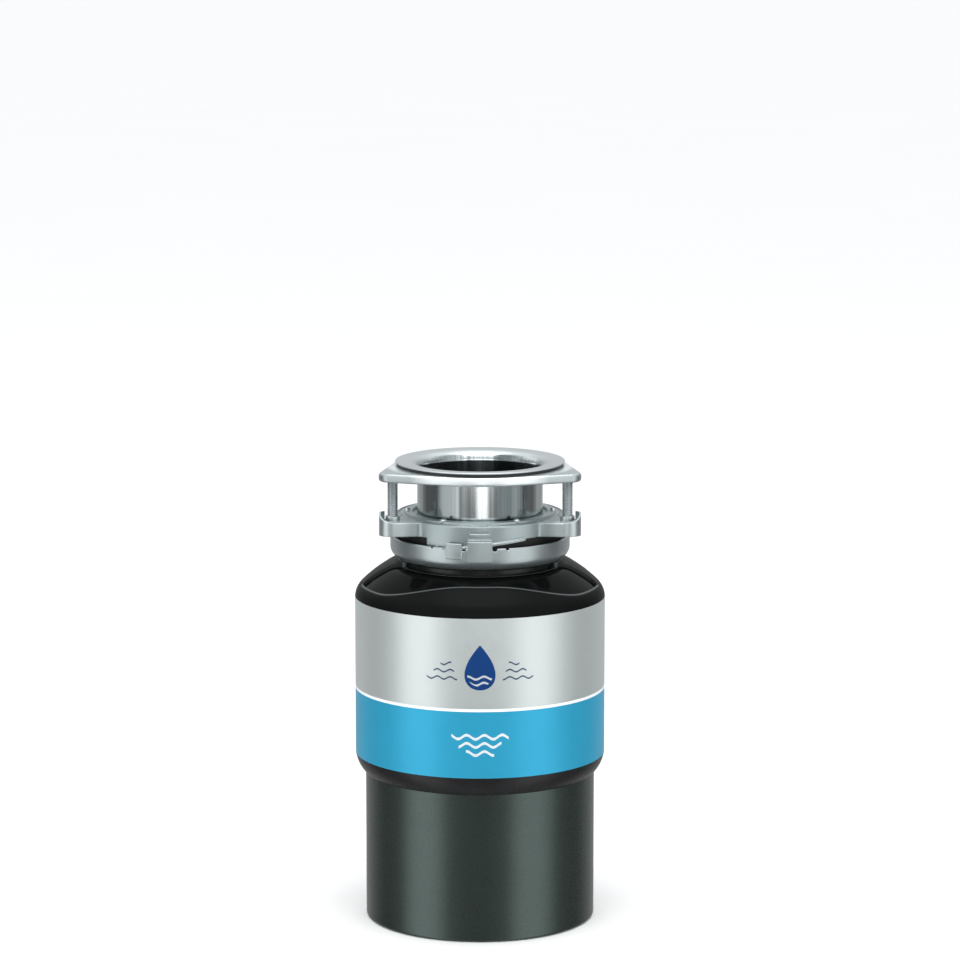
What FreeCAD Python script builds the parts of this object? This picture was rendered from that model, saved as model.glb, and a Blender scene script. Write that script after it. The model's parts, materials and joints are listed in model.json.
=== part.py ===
"""Kitchen garbage disposal: a vertical motor, a grinding chamber and a twist-lock sink mount.

Row frame: millimetres, +Z up, origin on the drive axis at the flat underside. The front faces -Y
and the waste outlet faces +Y.
"""

import FreeCAD
import Part

import math
import os

from FreeCAD import Vector

# ---------------------------------------------------------------- driving dimensions (mm, degrees)
SHELL_R = 86.5           # widest radius of the black outer shell
CAN_R = 79.5             # motor can, outside
CAN_WALL = 1.2
CAN_TOP = 112.0
TOP_Z = 320.5            # top of the sink flange

BAND_DEPTH = 0.6         # recess in the shell that the wrapped bands lie in
BLUE_Z = (116.4, 162.3)
STRIPE_Z = (162.3, 164.2)
SILVER_Z = (164.2, 226.2)

OUTLET_Z = 160.0         # height of the waste outlet's axis
OUTLET_R = 17.0
TAIL_Y = 127.0           # axis of the elbow's vertical leg
TAIL_R = 19.0
TAIL_END_Z = 66.0

DISH_Z = 212.0           # dishwasher inlet
DISH_ANGLE = 130.0
DISH_R = 11.0

SHAFT_R = 8.0
JOURNAL_R = 7.0          # lower journal of the shaft
RUNNING = 0.04           # radial clearance of a running fit
STACK_Z = (46.0, 74.0)   # stator and rotor laminations
ROTOR_R = 38.0
AIR_GAP = 0.4
SLOTS = 24

PLATE_Z = (184.0, 186.5)  # turntable
PLATE_R = 64.8
CHAMBER_R = 70.5          # inside radius of the grinding chamber
CHAMBER_WALL = 1.5
LUG_PIVOT = 47.0         # rivet circle of the swivel lugs
LUG_REACH = 17.3          # farthest point of a swivel lug from its rivet

SLEEVE_R = 43.3           # sink flange sleeve, outside
FLANGE_R = 58.0
SUPPORT_Z = (311.3, 317.4)
SCREW_R = 3.7
SCREW_CIRCLE = 68.7      # the three mounting screws
SCREW_ANGLES = (-30.0, 90.0, 210.0)
PAN_Z = (274.2, 284.2)    # mounting plate, walls and top
PAN_R = 58.0
PAN_WALL = 1.6
GROOVE = 1.0              # depth of the pressed grooves above each tab
BEND_R = 5.0              # inside bend where an ear leaves the pan
RIM_SLOPE = 28.0          # the curled rim of an ear rises towards the back
HUB_R = (46.4, 52.4)      # bead round the sleeve, inside and outside
STAKE_CIRCLE = 49.6
STAKE_R = 2.6
STAKE_ANGLES = tuple(60.0 * k for k in range(6))
RAMP_DEPTH = 1.6          # thickness of a ramp, measured down the wall
RAMP_TURN = 22.0          # how far the lock ring turns, degrees
RAMP_DRAW = 2.7           # how far the sink mount is drawn down over that turn
RAMP_R = 60.2
LOCK_R = 62.0
LOCK_WALL = 1.5
LOCK_TOP = 269.3
TAB_Z = (272.5, 274.2)    # the inward lip on each lock-ring tab
TAB_ANGLES = (-90.0, 30.0, 150.0)
TAB_WIDTH = 16.4

LOCK_IN = 50.4           # the lock ring's bottom opening
NECK_R = 49.6            # neck of the grinding chamber, outside
NECK_RIM_R = 54.6
RIM_R = 82.0             # bolted rim between chamber and drain housing
RIM_SCREWS = 78.6
RIM_ANGLES = (20.0, 75.0, 105.0, 160.0, 225.0, 270.0, 315.0)
RING_IN = 66.0           # grind ring, inside
NUT_THREAD_R = 6.0
RIVET_R = 3.2
LUG_ANGLES = (0.0, 180.0)
WRENCH = 6.4             # hexagon socket in the shaft's lower end, across flats
BARS = 30
SHELL_IN = 83.5
LIP_Z = 103.2
OUTLET_BORE = 14.5
OUTLET_BOLT_X = 26.5     # the two bolts of the outlet pad
CAN_IN = CAN_R - CAN_WALL
BOLT_CIRCLE = 71.5
BOLT_ANGLES = (45.0, 135.0, 225.0, 315.0)
RESET_SPOT = (44.0, -32.0)
GLAND_Z = 14.0
BOX_X = 23.5             # wiring box, half width
BOX_Y = (46.0, 70.5)
COVER_SCREW = (17.0, 52.5)
GROUND_SCREW = (-14.0, 56.0)

CENTRE = Vector(0, 0, 0)
UP = Vector(0, 0, 1)


# ---------------------------------------------------------------- building blocks
def disc(radius, z0, z1, x=0.0, y=0.0):
    return Part.makeCylinder(radius, z1 - z0, Vector(x, y, z0))


def ring(outer, inner, z0, z1, x=0.0, y=0.0):
    return disc(outer, z0, z1, x, y).cut(disc(inner, z0 - 1, z1 + 1, x, y))


def block(x0, x1, y0, y1, z0, z1):
    return Part.makeBox(x1 - x0, y1 - y0, z1 - z0, Vector(x0, y0, z0))


def rod(radius, start, end):
    run = Vector(*end) - Vector(*start)
    return Part.makeCylinder(radius, run.Length, Vector(*start), run)


def turn(shape, degrees, centre=CENTRE, axis=UP):
    moved = shape.copy()
    moved.rotate(centre, axis, degrees)
    return moved


def around(shape, count, first=0.0):
    """count copies of shape, evenly spaced about the drive axis."""
    return [turn(shape, first + 360.0 * k / count) for k in range(count)]


def edges_of(start, moves, lift):
    """Edges through start and moves: a pair is a straight run, four numbers are an arc's middle and end."""
    edges, here = [], lift(*start)
    for move in list(moves) + [start]:
        end = lift(*move[-2:])
        if len(move) == 4:
            edges.append(Part.Arc(here, lift(*move[:2]), end).toShape())
        elif (end - here).Length > 1e-6:
            edges.append(Part.LineSegment(here, end).toShape())
        here = end
    return edges


def turned(start, *moves):
    """A solid of revolution about the drive axis, from an outline of (radius, z) points."""
    wire = Part.Wire(edges_of(start, moves, lambda r, z: Vector(r, 0, z)))
    return Part.Face(wire).revolve(CENTRE, UP, 360)


def hull_plate(circles, z0, z1, inset=0.0):
    """A plate whose outline wraps the circles (x, y, radius), which run anticlockwise."""
    count, normals = len(circles), []
    for k in range(count):
        xa, ya, ra = circles[k]
        xb, yb, rb = circles[(k + 1) % count]
        away = math.atan2(yb - ya, xb - xa)
        normals.append(away - math.acos((ra - rb) / math.hypot(xb - xa, yb - ya)))

    def on(k, angle):
        x, y, r = circles[k % count]
        return Vector(x + (r - inset) * math.cos(angle), y + (r - inset) * math.sin(angle), z0)

    edges = []
    for k in range(count):
        start, end = normals[k - 1], normals[k]
        while end < start:
            end += 2 * math.pi
        edges.append(Part.Arc(on(k, start), on(k, (start + end) / 2), on(k, end)).toShape())
        edges.append(Part.LineSegment(on(k, end), on(k + 1, end)).toShape())
    return Part.Face(Part.Wire(edges)).extrude(Vector(0, 0, z1 - z0))


def sector(outer, inner, z0, z1, first, last):
    """Part of a ring between two angles."""
    whole = Part.makeCylinder(outer, z1 - z0, Vector(0, 0, z0), UP, last - first)
    return turn(whole.cut(disc(inner, z0 - 1, z1 + 1)), first)


def spot(radius, angle):
    return radius * math.cos(math.radians(angle)), radius * math.sin(math.radians(angle))


def hexagon(across_flats, z0, z1, x=0.0, y=0.0):
    corner = across_flats / math.sqrt(3)
    points = [Vector(x, y, z0) + Vector(*spot(corner, 60 * k), 0) for k in range(7)]
    return Part.Face(Part.makePolygon(points)).extrude(Vector(0, 0, z1 - z0))


def joined(shapes):
    """One solid from shapes that overlap or share faces."""
    return shapes[0].fuse(list(shapes[1:])).removeSplitter()


def flat_edges(shape, z, tolerance=0.01):
    """The edges that lie wholly in the plane at z."""
    return [e for e in shape.Edges
            if abs(e.BoundBox.ZMin - z) < tolerance and abs(e.BoundBox.ZMax - z) < tolerance]


def rounded(shape, radius, edges):
    return shape.makeFillet(radius, edges)


# ---------------------------------------------------------------- motor can and lower bearing
def motor_can():
    drum = turned((0, 0), (CAN_R - 2.0, 0), (CAN_R - 0.6, 0.6, CAN_R, 2.0), (CAN_R, CAN_TOP),
                  (CAN_IN, CAN_TOP), (CAN_IN, CAN_WALL), (0, CAN_WALL))
    cuts = [disc(13.0, -1, 3)]                                # wrench access to the shaft
    cuts.append(disc(5.5, -1, 3, *RESET_SPOT))
    cuts.append(block(-23, 23, 47, 68, -1, 3))                # wiring access, under its cover
    cuts.append(rod(8.2, (0, 70, GLAND_Z), (0, 90, GLAND_Z)))
    cuts += [disc(6.2, -1, 3, *spot(BOLT_CIRCLE, a)) for a in BOLT_ANGLES]
    vent = hull_plate([(30, 0, 2.2), (52, 0, 2.2)], -1, 3)
    cuts += [turn(vent, a) for a in (0, 15, 165, 180, 195, 255, 270)]
    return drum.cut(cuts)


def lower_end_bell():
    """Cast spider that carries the lower bearing and stands inside the can."""
    wall = ring(CAN_IN - 0.1, 75.0, CAN_WALL, STACK_Z[0])
    web = disc(CAN_IN - 0.1, 22.5, 26.5)
    hub = turned((0, 7.0), (13.5, 7.0), (16.0, 9.5), (16.0, 28.0), (0, 28.0))
    ribs = around(block(14, 75.5, -2, 2, 15.0, 23.0), 6)
    bosses = [disc(6.5, 6.0, 26.5, *spot(BOLT_CIRCLE, a)) for a in BOLT_ANGLES]
    body = joined([wall, web, hub] + ribs + bosses)
    cuts = [disc(11.0, 10.0, 40.0), disc(8.2, 0, 40)]
    cuts.append(block(-27, 27, 42, 90, 0, 22.5))
    cuts.append(disc(9.8, 0, 22.4, *RESET_SPOT))
    cuts += [disc(2.8, 0, 60, *spot(BOLT_CIRCLE, a)) for a in BOLT_ANGLES]
    cuts += [disc(5.2, 0, 6.0, *spot(BOLT_CIRCLE, a)) for a in BOLT_ANGLES]
    window = hull_plate([(34, 0, 4), (58, -13, 4), (58, 13, 4)], 20, 30)
    cuts += [turn(window, a) for a in (30, 150, 210, 270)]
    return body.cut(cuts)


def lower_bearing():
    return ring(11.0, JOURNAL_R + RUNNING, 10.0, 28.0)


def thrust_washer():
    return ring(13.0, JOURNAL_R + 0.3, 28.0, 29.4)


def through_bolts():
    bolts = []
    for angle in BOLT_ANGLES:
        x, y = spot(BOLT_CIRCLE, angle)
        head = hexagon(8.0, 1.6, 6.0, x, y)
        bolts.append(joined([head, disc(2.5, 6.0, 121.0, x, y)]))
    return Part.makeCompound(bolts)


# ---------------------------------------------------------------- motor windings and rotor
def slot_bars(inner, outer, width, z0, z1):
    return around(block(inner, outer, -width / 2, width / 2, z0, z1), SLOTS)


def stator_core():
    core = ring(CAN_IN - 0.1, ROTOR_R + AIR_GAP, *STACK_Z)
    cuts = slot_bars(42.0, 60.0, 5.2, 0, 200)
    cuts += slot_bars(37.0, 43.0, 2.0, 0, 200)
    cuts += [disc(2.8, 0, 200, *spot(BOLT_CIRCLE, a)) for a in BOLT_ANGLES]
    return core.cut(cuts)


def winding(inner, outer, reach):
    """End turns above and below the stack, joined by the bars that lie in the slots."""
    low, high = STACK_Z
    bars = slot_bars(inner + 1.0, outer - 1.0, 4.8, low - 1.0, high + 1.0)
    top = ring(outer, inner, high + 0.6, high + reach)
    foot = ring(outer, inner, low - reach, low - 0.6)
    return joined([top, foot] + bars)


def main_winding():
    return winding(51.6, 60.6, 15.0)


def start_winding():
    return winding(41.6, 51.2, 11.0)


def rotor_core():
    core = ring(ROTOR_R, SHAFT_R, *STACK_Z)
    return core.cut(around(disc(1.7, 0, 200, 34.8), BARS))


def rotor_cage():
    """Cast end rings and the bars that run through the core."""
    low, high = STACK_Z
    rings = [ring(37.0, 26.0, low - 6.0, low), ring(37.0, 26.0, high, high + 6.0)]
    fins = around(block(28, 36, -1.2, 1.2, high + 6.0, high + 10.0), 8)
    bars = around(disc(1.7, low - 0.5, high + 0.5, 34.8), BARS)
    return joined(rings + fins + bars)


def motor_shaft():
    shaft = turned((0, 4.0), (6.0, 4.0), (JOURNAL_R, 5.0), (JOURNAL_R, 29.6), (SHAFT_R, 29.6),
                   (SHAFT_R, PLATE_Z[0]), (NUT_THREAD_R, PLATE_Z[0]), (NUT_THREAD_R, 196.0),
                   (NUT_THREAD_R - 1, 197.0), (0, 197.0))
    return shaft.cut(hexagon(WRENCH, 3.0, 17.0))


def governor_collar():
    """Slides up the shaft as the weights fly out, and lets the start switch open."""
    collar = turned((8.1, 31.0), (16.5, 31.0), (16.5, 33.0), (10.5, 34.0), (10.5, 38.0), (8.1, 38.0))
    arms = around(block(9.5, 22.0, -2.5, 2.5, 33.0, 35.0), 2)
    return joined([collar] + arms)


def coil(radius, wire, z0, z1, turns, x=0.0, y=0.0):
    """A round-wire spring, drawn as a helix swept by its wire."""
    pitch = (z1 - z0 - 2 * wire) / turns
    path = Part.Wire(Part.makeHelix(pitch, pitch * turns, radius).Edges)
    section = Part.Wire(Part.makeCircle(wire, Vector(radius, 0, 0), Vector(0, 1, pitch / (6.3 * radius))))
    spring = path.makePipeShell([section], True, True)
    spring.translate(Vector(x, y, z0 + wire))
    return spring


def governor_spring():
    return coil(13.0, 0.6, 35.2, 45.8, 4)


def upper_bearing():
    return ring(11.0, SHAFT_R + RUNNING, 120.0, 150.0)


def shaft_seal():
    """Rubber lip seal in the top of the hub."""
    return turned((8.3, 163.0), (13.0, 163.0), (13.0, 172.0), (10.0, 172.0), (10.0, 166.0), (8.3, 165.0))


# ---------------------------------------------------------------- electrical parts
def start_switch():
    """Contact block on the lower end bell, with an arm that the governor collar holds down."""
    base = block(20, 38, -7, 7, 26.5, 29.8)
    body = block(24, 36, -6, 6, 29.8, 36.0)
    arm = block(14.5, 26.0, -2, 2, 29.7, 30.5)
    return turn(joined([base, body, arm]), 100)


def overload_protector():
    body = disc(9.0, 8.2, 22.2, *RESET_SPOT)
    x, y = RESET_SPOT
    tags = [block(x + dx, x + dx + 1, y - 3, y + 3, 22.0, 22.3) for dx in (-5, 4)]
    return joined([body] + tags).cut(disc(2.55, 8, 17, *RESET_SPOT))


def reset_button():
    cap = disc(5.2, 0.3, 1.5, *RESET_SPOT)
    flange = disc(7.0, 1.5, 2.6, *RESET_SPOT)
    stem = disc(2.5, 2.6, 13.0, *RESET_SPOT)
    return joined([cap, flange, stem])


def reset_spring():
    return coil(4.2, 0.4, 2.7, 8.1, 4, *RESET_SPOT)


def wiring_box():
    outside = block(-BOX_X, BOX_X, BOX_Y[0], BOX_Y[1], CAN_WALL, 21.5)
    inside = block(-BOX_X + 1.2, BOX_X - 1.2, BOX_Y[0] + 1.2, BOX_Y[1] - 1.2, 0, 20.3)
    tab = block(12, 22, BOX_Y[0] + 1, BOX_Y[0] + 11, 5.0, 6.5)
    box = joined([outside.cut(inside), tab])
    return box.cut([rod(8.2, (0, 60, GLAND_Z), (0, 80, GLAND_Z)), disc(1.8, 4, 8, *COVER_SCREW),
                    disc(1.8, 18, 23, *GROUND_SCREW)])


def terminal_cover():
    """Plate flush in the can's underside, with a tongue that hooks inside."""
    plate = block(-22.8, 22.8, 47.2, 67.8, 0.1, CAN_WALL)
    lip = block(-22.0, 22.0, 47.6, 67.4, 1.0, 2.2)
    return joined([plate, lip]).cut([disc(2.2, -1, 3, *COVER_SCREW), disc(4.2, -1, 1.0, *COVER_SCREW)])


def small_screw(head_r, head_z0, head_z1, shank_r, shank_end, x, y):
    """Slotted screw along Z; its head spans head_z0 to head_z1 and its shank runs to shank_end."""
    low, high = sorted((head_z1, shank_end)) if shank_end > head_z1 else sorted((shank_end, head_z0))
    body = joined([disc(head_r, head_z0, head_z1, x, y), disc(shank_r, low, high, x, y)])
    face = head_z0 if shank_end > head_z1 else head_z1 - 0.6
    return body.cut(block(x - head_r, x + head_r, y - 0.5, y + 0.5, face - 0.01, face + 0.61))


def cover_screw():
    return small_screw(3.8, 0.1, 1.0, 1.75, 8.5, *COVER_SCREW)


def ground_screw():
    return small_screw(3.8, 17.6, 20.2, 1.75, 22.3, *GROUND_SCREW)


def cable_gland():
    """Rubber bush in the can's back wall for the mains lead."""
    body = rod(8.1, (0, 68, GLAND_Z), (0, CAN_R, GLAND_Z))
    flange = rod(11.0, (0, CAN_R, GLAND_Z), (0, CAN_R + 4.0, GLAND_Z))
    return joined([body, flange]).cut(rod(4.2, (0, 60, GLAND_Z), (0, 100, GLAND_Z)))


# ---------------------------------------------------------------- drain housing and outlet
def outlet_outline(middle, ear, depth):
    """Two-eared plate standing across the outlet; it grows towards -Y from y = 0."""
    x = OUTLET_BOLT_X
    plate = hull_plate([(-x, 0, ear), (0, 0, middle), (x, 0, ear), (0, 0, middle)], 0, depth)
    return turn(plate, 90, axis=Vector(1, 0, 0))


def drain_housing():
    """Upper end bell of the motor: bearing hub, drain trough and outlet pipe in one casting."""
    low = STACK_Z[1]
    wall = turned((75.0, low), (CAN_IN - 0.1, low), (CAN_IN - 0.1, CAN_TOP), (CAN_R, CAN_TOP),
                  (CAN_R, 116.0), (75.5, 116.0), (75.5, 176.0), (RIM_R, 176.0), (RIM_R, 180.0),
                  (67.0, 180.0), (67.0, 177.0), (72.0, 173.0), (72.0, 116.0), (75.0, 113.0))
    floor = turned((20.0, 142.6), (73.0, 139.6), (73.0, 142.6), (24.0, 146.6), (20.0, 146.6))
    hub = turned((0, 117.0), (16.0, 117.0), (20.0, 140.0), (20.0, 164.0), (17.0, 172.0), (0, 172.0))
    ribs = around(block(17, 74, -1.5, 1.5, 128.0, 144.0), 6, 30)
    ribs = [rib.cut(ring(200, 74.0, 100, 200)) for rib in ribs]
    bosses = [disc(6.0, 100.0, 124.0, *spot(BOLT_CIRCLE, a)) for a in BOLT_ANGLES]
    spout = rod(OUTLET_R, (0, 66, OUTLET_Z), (0, 93, OUTLET_Z))
    pad = outlet_outline(20.0, 7.0, 4.0)
    pad.translate(Vector(0, 94, OUTLET_Z))
    body = joined([wall, floor, hub, spout, pad] + ribs + bosses)
    cuts = [rod(OUTLET_BORE, (0, 55, OUTLET_Z), (0, 100, OUTLET_Z)), disc(SHAFT_R + 0.5, 100, 180)]
    cuts += [disc(11.0, 120.0, 150.0), disc(13.0, 163.0, 175.0), disc(11.0, 110.0, 121.0)]
    cuts += [disc(2.5, 90, 121, *spot(BOLT_CIRCLE, a)) for a in BOLT_ANGLES]
    cuts += [disc(1.9, 175, 181, *spot(RIM_SCREWS, a)) for a in RIM_ANGLES]
    cuts += [rod(2.2, (x, 80, OUTLET_Z), (x, 100, OUTLET_Z)) for x in (-OUTLET_BOLT_X, OUTLET_BOLT_X)]
    body = body.cut(cuts)
    return body.cut(ring(200, CAN_IN - 0.1, 50, CAN_TOP))


def chamber_gasket():
    seal = ring(RIM_R, 72.4, 180.0, 181.0)
    return seal.cut([disc(2.2, 175, 185, *spot(RIM_SCREWS, a)) for a in RIM_ANGLES])


def rim_screws():
    return Part.makeCompound([small_screw(3.2, 183.0, 185.6, 1.9, 176.0, *spot(RIM_SCREWS, a))
                              for a in RIM_ANGLES])


def outlet_gasket():
    body = rod(19.5, (0, 94.0, OUTLET_Z), (0, 96.5, OUTLET_Z))
    return body.cut(rod(OUTLET_BORE, (0, 90, OUTLET_Z), (0, 100, OUTLET_Z)))


def elbow():
    """Moulded elbow: a short horizontal run, a quarter bend and a vertical tail."""
    bend = TAIL_Y - 104.0
    shapes = []
    for radius in (TAIL_R, TAIL_R - 2.0):
        run = rod(radius, (0, 96.5, OUTLET_Z), (0, 104.0, OUTLET_Z))
        tail = disc(radius, TAIL_END_Z, OUTLET_Z - bend, 0, TAIL_Y)
        loop = Part.Wire(Part.makeCircle(radius, Vector(0, 104, OUTLET_Z), Vector(0, 1, 0)))
        corner = Part.Face(loop).revolve(Vector(0, 104, OUTLET_Z - bend), Vector(1, 0, 0), -90)
        shapes.append(joined([run, corner, tail]))
    flange = rod(22.0, (0, 96.5, OUTLET_Z), (0, 99.5, OUTLET_Z))
    return joined([shapes[0], flange]).cut(shapes[1])


def elbow_bracket():
    """Pressed plate that clamps the elbow's flange to the outlet pad."""
    plate = outlet_outline(25.0, 7.0, 2.0)
    plate.translate(Vector(0, 101.6, OUTLET_Z))
    skirt = rod(25.0, (0, 96.8, OUTLET_Z), (0, 100.5, OUTLET_Z)).cut(
        rod(22.4, (0, 90, OUTLET_Z), (0, 110, OUTLET_Z)))
    ears = [rod(6.5, (x, 94.2, OUTLET_Z), (x, 100.5, OUTLET_Z)) for x in (-OUTLET_BOLT_X, OUTLET_BOLT_X)]
    body = joined([plate, skirt] + ears)
    cuts = [rod(TAIL_R + 0.3, (0, 90, OUTLET_Z), (0, 110, OUTLET_Z))]
    cuts.append(rod(22.3, (0, 90, OUTLET_Z), (0, 99.6, OUTLET_Z)))
    cuts += [rod(2.2, (x, 90, OUTLET_Z), (x, 110, OUTLET_Z)) for x in (-OUTLET_BOLT_X, OUTLET_BOLT_X)]
    return body.cut(cuts)


def elbow_bolts():
    bolts = []
    for x in (-OUTLET_BOLT_X, OUTLET_BOLT_X):
        head = turn(hexagon(9.0, 0, 3.6), 90, axis=Vector(1, 0, 0))
        head.translate(Vector(x, 105.2, OUTLET_Z))
        bolts.append(joined([head, rod(2.2, (x, 88.5, OUTLET_Z), (x, 102, OUTLET_Z))]))
    return Part.makeCompound(bolts)


# ---------------------------------------------------------------- grinding chamber
def container_body():
    wall = CHAMBER_WALL
    body = turned((CHAMBER_R, 181.0), (RIM_R, 181.0), (RIM_R, 183.0), (CHAMBER_R + wall, 183.0),
                  (CHAMBER_R + wall, 226.0), (70.2, 232.6, 65.0, 237.0), (53.0, 242.0),
                  (NECK_R, 245.5), (NECK_R, 255.4), (NECK_RIM_R, 255.4), (NECK_RIM_R, 258.4),
                  (NECK_R - 1.6, 258.4), (NECK_R - 1.6, 245.0), (52.0, 240.2), (64.0, 235.4),
                  (68.8, 231.6, CHAMBER_R, 226.0))
    reach = Vector(*spot(1.0, DISH_ANGLE), 0)
    start = reach * 69.0 + UP * DISH_Z
    root = Part.makeCylinder(DISH_R + 1.0, 19.0, start, reach).cut(disc(CHAMBER_R, 195, 225))
    pipe = Part.makeCylinder(DISH_R, 20.0, start + reach * 19.0, reach)
    bore = Part.makeCylinder(DISH_R - 2.0, 45.0, start - reach * 4.0, reach)
    body = joined([body, root, pipe]).cut(bore)
    return body.cut([disc(2.2, 175, 185, *spot(RIM_SCREWS, a)) for a in RIM_ANGLES])


def grind_ring():
    """Hardened ring with teeth round its lower inside edge."""
    body = ring(CHAMBER_R - 0.1, RING_IN, 180.0, 202.5)
    notch = block(RING_IN - 3, RING_IN + 2.0, -2.2, 2.2, 183.0, 195.0)
    step = block(RING_IN - 3, RING_IN + 1.2, -1.5, 1.5, 197.0, 204.0)
    return body.cut(around(notch, 30) + around(step, 15))


def turntable():
    low, high = PLATE_Z
    hub = turned((0, 174.0), (13.0, 174.0), (16.0, low), (0, low))
    plate = joined([disc(PLATE_R, low, high), hub])
    cuts = [disc(SHAFT_R, 170, low), disc(NUT_THREAD_R, 170, 190)]
    cuts += around(disc(2.4, 180, 190, 58.0), 12, 15)
    cuts += around(block(61.6, 66, -2.5, 2.5, 180, 190), 8, 22.5)
    cuts += [disc(RIVET_R, 180, 190, *spot(LUG_PIVOT, a)) for a in LUG_ANGLES]
    return plate.cut(cuts)


def swivel_lug(angle):
    """Hammer that swings freely on its rivet."""
    low = PLATE_Z[1] + 0.15
    foot = hull_plate([(-6.5, -2, 5.2), (9, -4.5, 6.2), (9, 4.5, 6.2), (-6.5, 2, 5.2)], low, low + 3.0)
    head = hull_plate([(9.8, -4.5, 5.0), (10.6, 0, 5.0), (9.8, 4.5, 5.0)], low + 2.5, low + 9.5)
    head = head.common(ring(LUG_REACH, 6.8, 150, 250))
    lug = joined([foot.common(disc(LUG_REACH, 150, 250)), head])
    lug = lug.cut([disc(RIVET_R + 0.05, 150, 250), disc(6.2, low + 3.0, 250)])
    lug.translate(Vector(LUG_PIVOT, 0, 0))
    return turn(lug, angle)


def swivel_lug_1():
    return swivel_lug(LUG_ANGLES[0])


def swivel_lug_2():
    return swivel_lug(LUG_ANGLES[1])


def lug_rivets():
    rivets = []
    for angle in LUG_ANGLES:
        x, y = spot(LUG_PIVOT, angle)
        low, high = PLATE_Z
        rivets.append(joined([disc(RIVET_R, low, high + 3.4, x, y), disc(5.6, high + 3.4, high + 5.4, x, y),
                              disc(5.6, low - 1.6, low, x, y)]))
    return Part.makeCompound(rivets)


def turntable_nut():
    nut = hexagon(17.0, PLATE_Z[1] + 1.2, PLATE_Z[1] + 8.5)
    washer = disc(11.5, PLATE_Z[1], PLATE_Z[1] + 1.2)
    return joined([nut, washer]).cut(disc(NUT_THREAD_R, 150, 250))


# ---------------------------------------------------------------- outer shell
def wall_openings():
    """Holes in the shell and its bands for the outlet pad and the dishwasher inlet."""
    reach = Vector(*spot(1.0, DISH_ANGLE), 0)
    outlet = outlet_outline(21.5, 8.5, 60.0)
    outlet.translate(Vector(0, 120, OUTLET_Z))
    return [outlet, Part.makeCylinder(DISH_R + 2.4, 60, reach * 60 + UP * DISH_Z, reach)]


def outer_shell():
    skin = SHELL_R - BAND_DEPTH
    body = turned((CAN_R + 0.4, LIP_Z), (84.2, 109.0, SHELL_R, BLUE_Z[0]), (skin, BLUE_Z[0]),
                  (skin, SILVER_Z[1]), (SHELL_IN, SILVER_Z[1]), (SHELL_IN, BLUE_Z[0] + 1.0),
                  (82.0, 109.0, CAN_R + 0.4, LIP_Z + 2.4))
    return body.cut(wall_openings())


def band(z0, z1):
    return ring(SHELL_R, SHELL_R - BAND_DEPTH, z0, z1).cut(wall_openings())


def silver_band():
    return band(*SILVER_Z)


def white_stripe():
    return band(*STRIPE_Z)


def blue_band():
    return band(*BLUE_Z)


def wave_outline(lift):
    """Edge of the recess in one half of the cover: a wave across the front that ends at the side ribs."""
    wave = []
    for step in range(-30, 31):
        away = 2.72 * step
        rise = min(1.0, max(0.0, (abs(away) - 8.0) / 50.0))
        radius = 70.5 + 11.2 * rise * rise * (3 - 2 * rise)
        wave.append(Vector(*spot(radius, away - 90.0), lift))
    curve = Part.BSplineCurve()
    curve.interpolate(wave)
    rib = [(76.0, -10.8), (66.5, -13.8), (53.0, -19.4), (30.0, -19.4)]
    right = [wave[-1]] + [Vector(x, y, lift) for x, y in rib]
    left = [Vector(-p.x, p.y, lift) for p in reversed(right)]
    return Part.Wire([curve.toShape()] + Part.makePolygon(right + left).Edges)


def top_cover():
    """Domed lid; waves in front and behind are sunk below the ribs at each side."""
    low = SILVER_Z[1]
    dome = turned((SHELL_R, low), (85.6, 230.2, 82.9, 234.6), (74.8, 241.9, 66.0, 248.0),
                  (60.5, 251.0, 56.0, 252.4), (53.0, 252.4), (53.0, 246.8), (61.0, 245.6),
                  (74.0, 237.6), (79.0, 233.0, 81.4, 227.0), (81.4, 217.0), (SHELL_IN - 0.1, 217.0),
                  (SHELL_IN - 0.1, low))
    sunk = turned((90.0, 230.2), (84.2, 230.2), (80.6, 234.4), (72.8, 240.8, 64.6, 246.6),
                  (60.0, 248.6, 55.5, 249.0), (40.0, 249.0), (40.0, 270.0), (90.0, 270.0))
    for half in (0, 180):
        prism = Part.Face(wave_outline(200)).extrude(Vector(0, 0, 80))
        dome = dome.cut(turn(prism, half).common(sunk))
    return dome.cut(wall_openings())


def cover_seal():
    """Rubber cuff that closes the gap between the chamber's neck and the lid."""
    inside, outside = NECK_R + 0.2, 52.8
    return turned((inside, 246.2), (outside, 247.0), (outside, 252.6), (54.9, 252.6),
                  (55.4, 252.9, 54.9, 253.3), (inside, 253.3))


def upper_insulation():
    foam = turned((72.4, 187.0), (80.9, 187.0), (80.9, 226.5), (76.0, 233.0), (72.4, 234.6))
    reach = Vector(*spot(1.0, DISH_ANGLE), 0)
    return foam.cut(Part.makeCylinder(DISH_R + 1.5, 60, reach * 60 + UP * DISH_Z, reach))


def lower_insulation():
    foam = ring(82.8, 76.0, 124.5, 175.0)
    return foam.cut(rod(OUTLET_R + 1.0, (0, 60, OUTLET_Z), (0, 100, OUTLET_Z)))


# ---------------------------------------------------------------- sink mount
def ear_spots():
    return [spot(SCREW_CIRCLE, a) for a in SCREW_ANGLES]


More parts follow.
